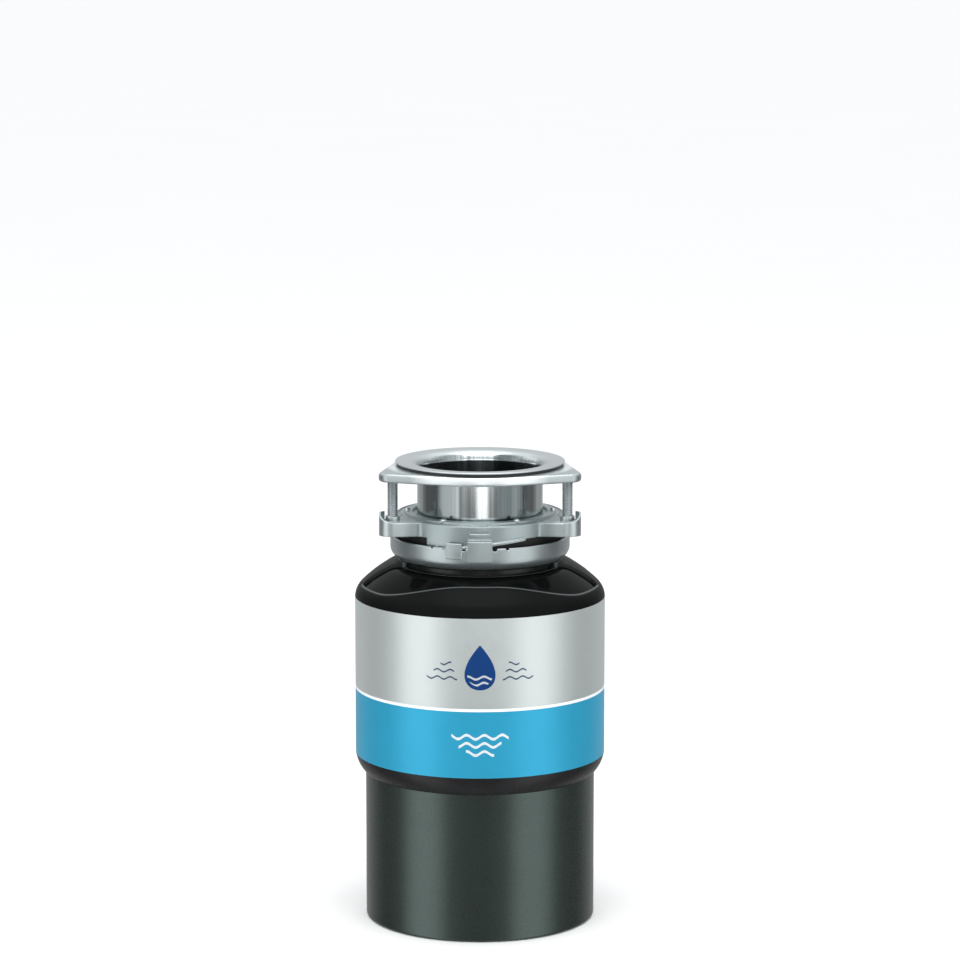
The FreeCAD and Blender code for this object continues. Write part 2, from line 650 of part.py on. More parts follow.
def sink_flange():
    """Drawn stainless flange and sleeve."""
    low = TOP_Z - 1.0
    return turned((SLEEVE_R, 276.5), (SLEEVE_R, 278.9), (SLEEVE_R + 1.5, 278.9), (SLEEVE_R + 1.5, 279.9),
                  (SLEEVE_R, 279.9), (SLEEVE_R, low - 5.5),
                  (SLEEVE_R + 1.61, low - 1.61, SLEEVE_R + 5.5, low), (FLANGE_R, low),
                  (FLANGE_R + 0.5, low + 0.5, FLANGE_R, TOP_Z), (SLEEVE_R + 5.5, TOP_Z - 0.4),
                  (SLEEVE_R + 0.7, low - 1.6, SLEEVE_R - 1.0, low - 6.0), (SLEEVE_R - 1.0, 276.5))


def flange_gasket():
    return ring(FLANGE_R - 0.5, SLEEVE_R + 5.7, SUPPORT_Z[1], TOP_Z - 1.0)


def lobed_plate(centre_r, ear_r, z0, z1, inset=0.0):
    """Plate whose outline wraps a centre disc and the three screw ears."""
    circles = []
    for x, y in ear_spots():
        circles += [(x, y, ear_r), (0.0, 0.0, centre_r)]
    return hull_plate(circles, z0, z1, inset)


def clamp_ring():
    low, high = SUPPORT_Z
    plate = lobed_plate(61.2, 9.4, low, high)
    plate = rounded(plate, 2.0, flat_edges(plate, high) + flat_edges(plate, low))
    hollow = ring(56.5, 50.5, low - 1, low + 2.6)
    cuts = [disc(HUB_R[0], 300, 330), hollow]
    cuts += [disc(SCREW_R + 0.05, low - 1, low + 1.4, x, y) for x, y in ear_spots()]
    return plate.cut(cuts)


def mounting_screw(k):
    """Set screw whose point bears in the clamp ring; its slotted head is under the plate."""
    x, y = ear_spots()[k]
    body = joined([disc(SCREW_R, 279.6, SUPPORT_Z[0] + 1.3, x, y), disc(6.0, 276.0, 279.6, x, y)])
    return body.cut(turn(block(x - 7, x + 7, y - 0.7, y + 0.7, 275, 277.4), SCREW_ANGLES[k], Vector(x, y, 0)))


def mounting_screw_1():
    return mounting_screw(0)


def mounting_screw_2():
    return mounting_screw(1)


def mounting_screw_3():
    return mounting_screw(2)


def paddles(inset, z0, z1):
    """The three screw ears, each blended back into the round pan."""
    near = spot(46.0, 0)
    ear = hull_plate([(near[0], 0, 17.5), (SCREW_CIRCLE, 0, 9.4)], z0, z1, inset)
    return [turn(ear, a) for a in SCREW_ANGLES]


def corners_at(shape, radius):
    """The upright edges where the ears meet the round pan."""
    found = []
    for edge in shape.Edges:
        a, b = edge.Vertexes[0].Point, edge.Vertexes[-1].Point
        upright = math.hypot(a.x - b.x, a.y - b.y) < 0.01 and abs(a.z - b.z) > 1.0
        if upright and abs(math.hypot(a.x, a.y) - radius) < 0.02:
            found.append(edge)
    return found


def ramps():
    """Skirts below the pan's wall, each edged by a sloping track for one tab of the lock ring."""
    slope = math.degrees(math.atan2(RAMP_DRAW, math.radians(RAMP_TURN) * RAMP_R))
    top = TAB_Z[0] - 1.2
    above = block(-60, 60, 0, 80, top, top + 40)
    below = block(-60, 60, 0, 80, top - 40, top - RAMP_DEPTH)
    above, below = [turn(half, slope, Vector(0, 0, top), Vector(0, 1, 0)) for half in (above, below)]
    track = sector(RAMP_R, PAN_R - 0.8, LOCK_TOP - 9.0, top + 8.0, 90 - 30, 90 + 31).cut([above, below])
    skirt = sector(PAN_R, PAN_R - PAN_WALL, LOCK_TOP - 9.0, PAN_Z[0] + 1.0, 90 - 38.5, 90 + 31).cut(below)
    tracks = joined([track, skirt])
    return [turn(tracks, a - 90) for a in TAB_ANGLES]


def edge_groove():
    """Shallow groove in the top, just inside the plate's whole outline."""
    floor, above = PAN_Z[1] - 0.9, PAN_Z[1] + 8.0
    outer, inner = 1.5, 3.4
    wide = joined([disc(PAN_R - outer, floor, above)] + paddles(outer, floor, above))
    narrow = joined([disc(PAN_R - inner, floor - 1, above + 1)] + paddles(inner, floor - 1, above + 1))
    return wide.cut(narrow)


def tab_slots():
    """Two pressed grooves in the pan's wall above each tab."""
    low = sector(PAN_R + 1, PAN_R - GROOVE, 274.9, 276.4, -8.0, 8.0)
    high = sector(PAN_R + 1, PAN_R - GROOVE, 278.7, 280.3, -6.6, 6.6)
    return [turn(slit, a) for slit in (low, high) for a in TAB_ANGLES]


def mounting_plate():
    """Pressed pan with screw ears; the lock ring's tabs climb the tracks on its wall."""
    low, high = PAN_Z
    solid = joined([disc(PAN_R, low, high)] + paddles(0, low, high))
    solid = rounded(solid, BEND_R, corners_at(solid, PAN_R))
    solid = rounded(solid, 1.2, flat_edges(solid, high))
    under = high - PAN_WALL
    hollow = joined([disc(PAN_R - PAN_WALL, low - 1, under)] + paddles(PAN_WALL, low - 1, under))
    hollow = rounded(hollow, BEND_R + PAN_WALL, corners_at(hollow, PAN_R - PAN_WALL))
    bead = high + 1.4
    hub = ring(HUB_R[1], HUB_R[0], high - 1.0, bead)
    hub = rounded(hub, 0.9, flat_edges(hub, bead))
    bosses = [disc(4.9, high - 1.0, high + 3.4, x, y) for x, y in ear_spots()]
    rims = []
    for (x, y), angle in zip(ear_spots(), SCREW_ANGLES):
        rim = ring(9.4, 7.8, high - 1.5, high + 5.5, x, y)
        keep = turn(block(2.0, 12, -12, 12, high - 2, high + 9), angle)
        keep.translate(Vector(x, y, 0))
        slope = turn(block(x - 20, x + 20, 0, 40, 0, 30), RIM_SLOPE, axis=Vector(1, 0, 0))
        slope.translate(Vector(0, y - 9.4, high - 0.2))
        rims.append(rim.common(keep).cut(slope))
    body = joined([solid.cut(hollow), hub] + bosses + rims + ramps())
    cuts = [disc(HUB_R[0], 250, 300)] + [disc(SCREW_R + 0.05, 270, 300, x, y) for x, y in ear_spots()]
    cuts += [disc(STAKE_R, high - 4, high + 9, *spot(STAKE_CIRCLE, a)) for a in STAKE_ANGLES]
    body = body.cut(cuts + tab_slots() + [edge_groove()])
    lip = ring(HUB_R[0] + 0.1, SLEEVE_R + 0.3, under, high - 0.7)
    return joined([body, lip])


def plate_rivets():
    """Round-headed stakes that show as bright domes on the hub."""
    rivets = []
    for x, y in [spot(STAKE_CIRCLE, a) for a in STAKE_ANGLES]:
        shoulder = PAN_Z[1] + 0.5
        stem = disc(STAKE_R, PAN_Z[1] - PAN_WALL, shoulder, x, y)
        dome = Part.makeSphere(STAKE_R, Vector(x, y, shoulder))
        rivets.append(joined([stem, dome.common(disc(STAKE_R, shoulder, shoulder + 9, x, y))]))
    return Part.makeCompound(rivets)


def snap_ring():
    """Split wire that stops the plate from sliding off the sleeve."""
    body = ring(SLEEVE_R + 3.2, SLEEVE_R, 279.9, PAN_Z[1] - PAN_WALL)
    return body.cut(turn(block(40, 50, -1.5, 1.5, 270, 290), 60))


def lock_ring():
    """Rolled dish that hooks under the chamber's neck, with three tabs over the plate's ramps."""
    top, wall = LOCK_TOP, LOCK_WALL
    dish = turned((LOCK_IN, 253.6), (54.2, 253.6), (59.8, 256.0, LOCK_R, 261.4), (LOCK_R, top - 0.75),
                  (LOCK_R - 0.75, top, LOCK_R - wall, top - 0.75), (LOCK_R - wall, 261.6),
                  (58.6, 257.0, 54.0, 255.1), (LOCK_IN, 255.1))
    half = math.degrees(math.asin(TAB_WIDTH / 2 / LOCK_R))
    shapes = [dish]
    for angle in TAB_ANGLES:
        first, last = angle - half, angle + half
        shapes.append(sector(LOCK_R + 1.2, LOCK_R - 1.2, 260.0, TAB_Z[1], first, last))
        shapes.append(sector(LOCK_R + 1.2, PAN_R + 0.35, TAB_Z[0], TAB_Z[1], first, last))
        grip = angle - 16.7
        shapes.append(sector(LOCK_R + 0.4, LOCK_R - 1.4, 262.0, 272.6, grip - 5.0, grip + 5.0))
    body = joined(shapes)
    cuts = []
    for offset, radius in ((-32.0, 1.1), (-23.6, 1.2), (-10.2, 1.5), (9.4, 1.7), (17.6, 1.2)):
        notch = rod(radius, (LOCK_R - 3, 0, top - 0.3), (LOCK_R + 1.1, 0, top - 0.3))
        cuts += [turn(notch, angle + offset) for angle in TAB_ANGLES]
    return body.cut(cuts)


def mounting_gasket():
    """Rubber cup that seals the chamber's neck to the plate."""
    return turned((NECK_R - 1.8, 258.6), (54.8, 258.6), (55.4, 259.2), (55.4, 281.6), (48.2, 281.6),
                  (48.2, 275.6), (43.0, 275.6), (43.0, 273.8), (48.2, 272.8), (48.2, 266.8),
                  (NECK_R - 1.8, 266.4))


def splash_baffle():
    """Rubber disc across the throat, slit into flaps that bend as food is pushed through."""
    edge = turned((40.0, 261.6), (47.6, 258.6), (47.6, 272.6), (46.2, 272.6), (46.0, 265.6), (40.0, 264.6))
    flaps = turned((3.0, 257.6), (10.0, 258.4), (41.0, 262.0), (41.0, 264.2), (10.0, 260.6), (3.0, 259.6))
    slit = block(7.0, 39.0, -0.5, 0.5, 250, 270)
    return joined([edge, flaps]).cut(around(slit, 8))


# ---------------------------------------------------------------- write every sub-part
NODES = (
    motor_can, lower_end_bell, lower_bearing, thrust_washer, through_bolts, stator_core, main_winding,
    start_winding, rotor_core, rotor_cage, motor_shaft, governor_collar, governor_spring, upper_bearing,
    shaft_seal, start_switch, overload_protector, reset_button, reset_spring, wiring_box,
    terminal_cover, cover_screw, ground_screw, cable_gland, drain_housing, chamber_gasket, rim_screws,
    outlet_gasket, elbow, elbow_bracket, elbow_bolts, container_body, grind_ring, turntable,
    swivel_lug_1, swivel_lug_2, lug_rivets, turntable_nut, outer_shell, silver_band, white_stripe,
    blue_band, top_cover, cover_seal, upper_insulation, lower_insulation, sink_flange,
    flange_gasket, clamp_ring, mounting_screw_1, mounting_screw_2, mounting_screw_3,
    mounting_plate, plate_rivets, snap_ring, lock_ring, mounting_gasket, splash_baffle,
)

os.makedirs("parts", exist_ok=True)
for make in NODES:
    shape = make()
    shape.exportStep("parts/%s.step" % make.__name__)
    print("%-20s solids %d  valid %s  volume %.0f" % (make.__name__, len(shape.Solids), shape.isValid(),
                                                     shape.Volume))
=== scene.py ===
"""Looks for the kitchen garbage disposal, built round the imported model.

Everything is in metres in the row frame: +Z up along the motor's axis, the front faces -Y. Lengths
named _MM are millimetres, because a material's patterns are easier to read that way.
"""

import json
import math

import bmesh
import bpy
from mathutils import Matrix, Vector


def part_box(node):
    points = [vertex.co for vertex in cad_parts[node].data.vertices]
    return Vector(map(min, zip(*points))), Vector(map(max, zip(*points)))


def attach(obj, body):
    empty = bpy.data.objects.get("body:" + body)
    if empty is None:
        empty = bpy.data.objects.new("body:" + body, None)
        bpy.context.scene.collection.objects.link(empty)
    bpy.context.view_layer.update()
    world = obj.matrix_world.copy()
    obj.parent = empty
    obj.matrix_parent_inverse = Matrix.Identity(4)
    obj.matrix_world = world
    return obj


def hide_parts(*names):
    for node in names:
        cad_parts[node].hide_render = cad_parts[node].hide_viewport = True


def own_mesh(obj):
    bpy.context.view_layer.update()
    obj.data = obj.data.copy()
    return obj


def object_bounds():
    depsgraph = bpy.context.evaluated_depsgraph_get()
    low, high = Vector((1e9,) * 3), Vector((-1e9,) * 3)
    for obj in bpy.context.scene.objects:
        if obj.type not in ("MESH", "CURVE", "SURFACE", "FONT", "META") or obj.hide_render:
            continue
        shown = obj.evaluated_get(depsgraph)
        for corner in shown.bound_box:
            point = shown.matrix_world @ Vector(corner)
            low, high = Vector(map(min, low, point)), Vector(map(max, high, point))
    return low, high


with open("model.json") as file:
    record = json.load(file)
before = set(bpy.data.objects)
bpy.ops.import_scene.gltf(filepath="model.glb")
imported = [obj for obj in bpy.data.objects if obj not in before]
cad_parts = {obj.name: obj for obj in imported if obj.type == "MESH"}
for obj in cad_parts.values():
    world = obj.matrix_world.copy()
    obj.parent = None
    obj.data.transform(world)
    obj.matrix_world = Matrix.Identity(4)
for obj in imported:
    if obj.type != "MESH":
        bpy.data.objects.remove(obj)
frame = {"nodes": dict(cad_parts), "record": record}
nodes = frame["nodes"]
cad_low, cad_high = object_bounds()
MM = 0.001

BODY_R_MM = 80.0                    # the radius at which round_noise has its stated size
BEVEL_SAMPLES = 4
NOISE_LOW, NOISE_HIGH = 0.3, 0.7    # most of a noise's values lie between these
PRINT_SOFT = 0.12                   # how far a printed edge fades each way, in millimetres


# ---------------------------------------------------------------- node materials
def feed_socket(tree, socket, value):
    """Links value to a socket if it is itself a socket, and sets it otherwise."""
    if isinstance(value, bpy.types.NodeSocket):
        tree.links.new(value, socket)
    else:
        socket.default_value = value


def add_node(tree, kind, inputs, settings):
    """A new shader node with its properties set and its inputs, as (socket, value), fed."""
    node = tree.nodes.new("ShaderNode" + kind)
    for key, value in settings.items():
        setattr(node, key, value)
    for socket, value in inputs:
        feed_socket(tree, node.inputs[socket], value)
    return node


def fill_ramp(node, stops):
    """Gives a colour ramp its grey stops, as (place, level)."""
    elements = node.color_ramp.elements
    while len(elements) < len(stops):
        elements.new(0.5)
    for element, (place, level) in zip(elements, stops):
        element.position = place
        element.color = (level, level, level, 1.0)


class Look:
    """One Principled material, with short calls that add the nodes behind its sockets."""

    def __init__(self, name, colour, rough, metallic=0.0, **constants):
        self.material = bpy.data.materials.new(name)
        self.material.use_nodes = True
        self.tree = self.material.node_tree
        self.shader = self.tree.nodes["Principled BSDF"]
        self.shader.inputs["Base Color"].default_value = (*colour, 1.0)
        self.shader.inputs["Roughness"].default_value = rough
        self.shader.inputs["Metallic"].default_value = metallic
        for socket, value in constants.items():
            self.shader.inputs[socket.replace("_", " ")].default_value = value
        self.normal = None
        self.made = {}

    def add(self, kind, inputs, **settings):
        """Adds a node to this material."""
        return add_node(self.tree, kind, inputs, settings)

    def feed(self, socket, value):
        """Feeds a socket of this material."""
        feed_socket(self.tree, socket, value)

    def calc(self, operation, *values, clamp=False):
        """The result of a Math node."""
        return self.add("Math", enumerate(values), operation=operation, use_clamp=clamp).outputs[0]

    def place(self):
        """Object coordinates in millimetres."""
        if "place" not in self.made:
            coords = self.add("TexCoord", ()).outputs["Object"]
            scaled = self.add("VectorMath", ((0, coords), ("Scale", 1000.0)), operation="SCALE")
            self.made["place"] = scaled.outputs[0]
        return self.made["place"]

    def axes(self):
        """x, y and z in millimetres."""
        if "axes" not in self.made:
            self.made["axes"] = tuple(self.add("SeparateXYZ", ((0, self.place()),)).outputs)
        return self.made["axes"]

    def wrapped(self, radius):
        """Distance round a cylinder from its front, and height, in millimetres."""
        x, y, z = self.axes()
        angle = self.calc("ARCTAN2", x, self.calc("MULTIPLY", y, -1.0))
        return self.calc("MULTIPLY", angle, radius), z

    def noise(self, size, detail=4.0, stretch=(1, 1, 1)):
        """Noise from 0 to 1 whose blotches are about size millimetres, longer along a stretched axis."""
        squeeze = [1.0 / (size * s) for s in stretch]
        scaled = self.add("VectorMath", ((0, self.place()), (1, squeeze)), operation="MULTIPLY")
        return self.add("TexNoise", (("Vector", scaled.outputs[0]), ("Scale", 1.0), ("Detail", detail),
                                     ("Roughness", 0.6))).outputs[0]

    def round_noise(self, size_round, size_up, detail=4.0):
        """Noise laid round the drive axis, with its own size round it and up it."""
        x, y, z = self.axes()
        radius = self.radius()
        unit_x = self.calc("DIVIDE", x, self.calc("MAXIMUM", radius, 1.0))
        unit_y = self.calc("DIVIDE", y, self.calc("MAXIMUM", radius, 1.0))
        across = BODY_R_MM / size_round
        where = self.add("CombineXYZ", ((0, self.calc("MULTIPLY", unit_x, across)),
                                        (1, self.calc("MULTIPLY", unit_y, across)),
                                        (2, self.calc("DIVIDE", self.calc("ADD", z, radius), size_up))))
        return self.add("TexNoise", (("Vector", where.outputs[0]), ("Scale", 1.0), ("Detail", detail),
                                     ("Roughness", 0.6))).outputs[0]

    def cells(self, size):
        """Distance from the middle of the nearest cell; cells are about size millimetres apart."""
        scaled = self.add("VectorMath", ((0, self.place()), ("Scale", 1.0 / size)), operation="SCALE")
        return self.add("TexVoronoi", (("Vector", scaled.outputs[0]), ("Scale", 1.0)),
                        feature="F1").outputs["Distance"]

    def spread(self, value, low, high, new_low, new_high):
        """Maps low to high onto new_low to new_high, and holds the ends."""
        return self.add("MapRange", ((0, value), (1, low), (2, high), (3, new_low), (4, new_high))).outputs[0]

    def mixed(self, factor, a, b):
        """Colour a where factor is 0, b where it is 1."""
        colours = [c if isinstance(c, bpy.types.NodeSocket) else (*c, 1.0) for c in (a, b)]
        node = self.add("Mix", ((0, factor), (6, colours[0]), (7, colours[1])), data_type="RGBA")
        return node.outputs[2]

    def ramp(self, value, stops):
        """Grey level along value from 0 to 1; stops are (place, level)."""
        node = self.add("ValToRGB", ((0, value),))
        fill_ramp(node, stops)
        return node.outputs[0]

    def radius(self):
        """Distance from the drive axis in millimetres."""
        if "radius" not in self.made:
            x, y = self.axes()[:2]
            square = self.calc("ADD", self.calc("MULTIPLY", x, x), self.calc("MULTIPLY", y, y))
            self.made["radius"] = self.calc("SQRT", square)
        return self.made["radius"]

    def paint(self, colour):
        """Sets or links the base colour."""
        self.feed(self.shader.inputs["Base Color"], colour)

    def vary_rough(self, value, low, high):
        """Roughness from low to high as a noise rises."""
        self.feed(self.shader.inputs["Roughness"], self.spread(value, NOISE_LOW, NOISE_HIGH, low, high))

    def soft_edges(self, radius):
        """Rounds the look of every edge by radius millimetres."""
        bevel = self.add("Bevel", ((0, radius * MM),), samples=BEVEL_SAMPLES)
        self.normal = bevel.outputs[0]
        self.feed(self.shader.inputs["Normal"], self.normal)

    def bump(self, height, depth):
        """Raises the surface by height, from 0 to 1, times depth millimetres."""
        inputs = [("Strength", 1.0), ("Distance", depth * MM), ("Height", height)]
        if self.normal:
            inputs.append(("Normal", self.normal))
        self.normal = self.add("Bump", inputs).outputs[0]
        self.feed(self.shader.inputs["Normal"], self.normal)

    def edge_wear_and_highlight(self, radius):
        """1 on sharp edges and 0 elsewhere."""
        bevel = self.add("Bevel", ((0, radius * MM),), samples=BEVEL_SAMPLES).outputs[0]
        flat = self.add("NewGeometry", ()).outputs["Normal"]
        dot = self.add("VectorMath", ((0, bevel), (1, flat)), operation="DOT_PRODUCT").outputs["Value"]
        return self.spread(dot, 0.98, 0.80, 0.0, 1.0)


def blotched(look, size, dark, light):
    """Colour that wanders between two close shades."""
    look.paint(look.mixed(look.noise(size), dark, light))


EARS_FROM_MM, EARS_TO_MM = 62.5, 67.5    # where the round of a casting gives way to its ears


def cast_metal(name, dark, light, ears=None):
    """Die-cast alloy, tumbled to a satin skin, and lighter along its edges: partly rubbed wear, partly a
    painted highlight.

    With ears given, the casting's ears are painted that tone. It stands in for how the light falls on them.
    """
    look = Look(name, light, 0.32, 0.85)
    look.soft_edges(0.9)
    skin = look.mixed(look.noise(25.0), dark, light)
    if ears:
        skin = look.mixed(look.spread(look.radius(), EARS_FROM_MM, EARS_TO_MM, 0.0, 1.0), skin, ears)
    # edges painted lighter: partly rubbed wear, partly a painted highlight
    look.paint(look.mixed(look.edge_wear_and_highlight(0.6), skin, (0.80, 0.87, 0.88)))
    look.vary_rough(look.noise(8.0), 0.27, 0.35)
    look.bump(look.noise(2.0, 5.0), 0.012)
    return look.material


SLEEVE_MM = 43.3
# Reflections painted across the sleeve, as (place, level), from place 0 at its left edge to 1 at its right.
# They are fitted to one lighting seen from the front, and aren't a property of the steel.
SLEEVE_REFLECTIONS = ((0.0, 0.55), (0.03, 0.62), (0.055, 0.58), (0.102, 0.66), (0.15, 0.40), (0.221, 0.22),
                (0.301, 0.30), (0.33, 0.52), (0.345, 0.30), (0.38, 0.95), (0.41, 0.55), (0.435, 0.85),
                (0.465, 1.0), (0.56, 1.0), (0.60, 0.95), (0.62, 0.32), (0.659, 0.08), (0.739, 0.06),
                (0.80, 0.24), (0.85, 0.52), (0.885, 0.82), (0.946, 1.0), (0.97, 0.60), (1.0, 0.60))


def polished_steel():
    """Drawn and polished stainless steel, with broad reflections painted up the sleeve."""
    look = Look("polished_steel", (0.78, 0.80, 0.81), 0.1, 1.0)
    x = look.axes()[0]
    side = look.calc("DIVIDE", x, look.calc("MAXIMUM", look.radius(), 1.0))
    share = look.spread(side, -1.0, 1.0, 0.0, 1.0)
    # painted reflections: light and dark streaks across the sleeve
    painted_reflections = look.ramp(share, SLEEVE_REFLECTIONS)
    fine = look.spread(look.round_noise(1.6, 400.0, 2.0), NOISE_LOW, NOISE_HIGH, 0.72, 1.2)
    shade = look.calc("MULTIPLY", painted_reflections, fine, clamp=True)
    sleeve = look.mixed(shade, (0.09, 0.115, 0.12), (0.93, 0.99, 1.0))
    rolled = look.mixed(look.round_noise(30.0, 400.0), (0.52, 0.57, 0.58), (0.66, 0.71, 0.72))
    lip = look.spread(look.radius(), SLEEVE_MM + 0.2, SLEEVE_MM + 1.2, 0.0, 1.0)
    look.paint(look.mixed(lip, sleeve, rolled))
    look.feed(look.shader.inputs["Roughness"], look.spread(lip, 0.0, 1.0, 0.16, 0.3))
    look.bump(look.round_noise(0.6, 40.0), 0.003)
    return look.material


def plated_steel():
    """Zinc plate with its faint clouding."""
    look = Look("plated_steel", (0.60, 0.63, 0.63), 0.3, 1.0)
    look.soft_edges(0.25)
    blotched(look, 6.0, (0.50, 0.53, 0.54), (0.68, 0.70, 0.68))
    look.vary_rough(look.noise(2.0), 0.22, 0.38)
    look.bump(look.noise(0.5, 6.0), 0.01)
    return look.material


def rolled_thread():
    """The mounting screws: zinc plate, painted a little darker than the other fasteners as painted shade."""
    look = Look("rolled_thread", (0.50, 0.53, 0.54), 0.3, 1.0)
    blotched(look, 5.0, (0.40, 0.44, 0.45), (0.54, 0.58, 0.59))
    look.vary_rough(look.noise(2.0), 0.26, 0.4)
    look.bump(look.noise(0.8, 4.0), 0.004)
    return look.material


def bright_steel():
    """Turned steel, with tool marks round it."""
    look = Look("bright_steel", (0.72, 0.74, 0.75), 0.2, 1.0)
    look.soft_edges(0.25)
    marks = look.round_noise(60.0, 0.35, 3.0)
    look.paint(look.mixed(marks, (0.62, 0.64, 0.65), (0.80, 0.82, 0.83)))
    look.vary_rough(marks, 0.14, 0.28)
    look.bump(marks, 0.006)
    return look.material


def can_paint():
    """Dark satin lacquer over rolled steel, with the fine grain of the roll showing through."""
    look = Look("can_paint", (0.05, 0.06, 0.058), 0.3, 0.85)
    grain = look.round_noise(30.0, 0.8)
    cloud = look.noise(22.0)
    shade = look.calc("ADD", look.calc("MULTIPLY", grain, 0.4), look.calc("MULTIPLY", cloud, 0.6))
    look.paint(look.mixed(shade, (0.075, 0.100, 0.093), (0.100, 0.130, 0.120)))
    look.vary_rough(look.noise(1.5), 0.26, 0.32)
    look.bump(look.noise(0.8, 5.0), 0.002)
    return look.material


def black_plastic():
    """Satin black moulding with a very fine spark finish."""
    look = Look("black_plastic", (0.012, 0.012, 0.013), 0.3, Specular_IOR_Level=0.3)
    look.soft_edges(0.3)
    blotched(look, 14.0, (0.009, 0.009, 0.010), (0.015, 0.015, 0.016))
    look.vary_rough(look.noise(2.5), 0.24, 0.36)
    look.bump(look.noise(0.35, 5.0), 0.008)
    return look.material


WAVE_FROM, WAVE_TO = 8.0, 58.0              # degrees from the front or back between which the edge rises
WAVE_LOW_MM, WAVE_HIGH_MM = 70.5, 81.7      # the edge's radius at those angles
RIB_LINES = ((53.0, 19.4, -0.415), (66.5, 13.8, -0.316), (76.0, 10.8, 0.23))    # x, y and slope of each line
COLLAR_MM = 55.9


def cover_edge(look):
    """Signed distance in millimetres from the edge of the cover's sunk waves; it is above 0 inside them."""
    x, y = look.axes()[:2]
    across, along = look.calc("ABSOLUTE", x), look.calc("ABSOLUTE", y)
    away = look.calc("DEGREES", look.calc("ARCTAN2", across, along))
    rise = look.add("MapRange", ((0, away), (1, WAVE_FROM), (2, WAVE_TO), (3, WAVE_LOW_MM),
                                 (4, WAVE_HIGH_MM)), interpolation_type="SMOOTHSTEP").outputs[0]
    rib = None
    for x0, y0, slope in RIB_LINES:
        line = look.calc("MULTIPLY_ADD", look.calc("SUBTRACT", across, x0), slope, y0)
        rib = look.calc("MAXIMUM", rib, line) if rib else line
    return look.calc("MINIMUM", look.calc("SUBTRACT", rise, look.radius()), look.calc("SUBTRACT", along, rib))


def cover_plastic():
    """The lid: glossy black inside the waves, satin outside them, with a painted highlight along the lip
    between and round the collar.
    """
    look = Look("cover_plastic", (0.010, 0.010, 0.011), 0.3, Specular_IOR_Level=0.035)
    edge = cover_edge(look)
    inside = look.spread(edge, -0.3, 0.3, 0.0, 1.0)
    lip = look.calc("MULTIPLY", look.spread(edge, -1.1, -0.5, 0.0, 1.0),
                    look.spread(edge, -0.5, 0.1, 1.0, 0.0))
    collar = look.calc("ABSOLUTE", look.calc("SUBTRACT", look.radius(), COLLAR_MM))
    bead = look.spread(collar, 0.2, 1.2, 1.0, 0.0)
    # painted highlight: the lip along the waves and the collar bead are painted light grey
    painted_highlight = look.calc("MAXIMUM", lip, bead)
    satin = look.mixed(look.noise(14.0), (0.0045, 0.005, 0.005), (0.006, 0.0066, 0.0066))
    look.paint(look.mixed(painted_highlight, look.mixed(inside, satin, (0.003, 0.0034, 0.0034)), (0.13, 0.15, 0.15)))
    rough = look.calc("ADD", look.spread(inside, 0.0, 1.0, 0.34, 0.14),
                      look.spread(look.noise(3.0), NOISE_LOW, NOISE_HIGH, -0.03, 0.03))
    look.feed(look.shader.inputs["Roughness"], rough)
    step = look.add("MapRange", ((0, edge), (1, -1.6), (2, 0.1), (3, 1.0), (4, 0.0)),
                    interpolation_type="SMOOTHSTEP").outputs[0]
    look.bump(step, 1.2)
    look.bump(bead, 0.6)
    look.bump(look.noise(0.35, 5.0), 0.004)
    return look.material


def wave_line(look, u, v, middle, swing, length, half):
    """1 on a wavy line: its height swings about middle."""
    curve = look.calc("MULTIPLY", look.calc("SINE", look.calc("MULTIPLY", u, 2 * math.pi / length)), swing)
    off = look.calc("ABSOLUTE", look.calc("SUBTRACT", look.calc("SUBTRACT", v, middle), curve))
    return look.spread(off, half - PRINT_SOFT, half + PRINT_SOFT, 1.0, 0.0)


def between(look, value, low, high):
    """1 where value is between low and high."""
    rise = look.spread(value, low - PRINT_SOFT, low + PRINT_SOFT, 0.0, 1.0)
    fall = look.spread(value, high - PRINT_SOFT, high + PRINT_SOFT, 1.0, 0.0)
    return look.calc("MULTIPLY", rise, fall)


WIDEST = 0.385    # the largest value of sqrt(t) * (1 - t)


def drop(look, u, v, foot, height, half):
    """1 inside a water drop that stands on foot."""
    t = look.spread(v, foot, foot + height, 0.0, 1.0)
    width = look.calc("MULTIPLY", look.calc("SQRT", t), look.calc("SUBTRACT", 1.0, t))
    edge = look.calc("SUBTRACT", look.calc("MULTIPLY", width, half / WIDEST), look.calc("ABSOLUTE", u))
    return look.spread(edge, -PRINT_SOFT, PRINT_SOFT, 0.0, 1.0)


BAND_R_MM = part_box("silver_band")[1].x / MM


def silver_wrap():
    """Satin silver film with a printed water drop and ripples."""
    look = Look("silver_wrap", (0.70, 0.72, 0.72), 0.40, 0.65)
    u, v = look.wrapped(BAND_R_MM)
    low, high = (corner.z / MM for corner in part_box("silver_band"))
    middle = low + 0.42 * (high - low)
    cloud = look.mixed(look.noise(30.0), (0.65, 0.705, 0.705), (0.70, 0.75, 0.75))
    body = look.calc("MULTIPLY", drop(look, u, v, middle - 13.0, 31.0, 10.5),
                     between(look, v, middle - 13.0, middle + 18.0))
    ink = look.mixed(body, cloud, (0.010, 0.075, 0.30))
    inner = look.calc("MULTIPLY", drop(look, u, v, middle - 10.5, 25.0, 8.6),
                      between(look, v, middle - 10.5, middle + 14.5))
    for k in range(2):
        wave = wave_line(look, u, v, middle - 4.5 - 4.2 * k, 1.0, 11.0, 0.75)
        ink = look.mixed(look.calc("MULTIPLY", wave, inner), ink, (0.85, 0.90, 0.93))
    side = look.calc("ABSOLUTE", u)
    for k in range(3):
        wave = wave_line(look, side, v, middle - 5.0 + 5.0 * k, 0.9, 9.0, 0.55)
        reach = between(look, side, 15.5 + 2.0 * k, 37.0 - 5.0 * k)
        ink = look.mixed(look.calc("MULTIPLY", wave, reach), ink, (0.05, 0.10, 0.17))
    look.paint(ink)
    look.vary_rough(look.noise(3.0), 0.34, 0.42)
    look.bump(look.noise(0.6, 5.0), 0.004)
    return look.material


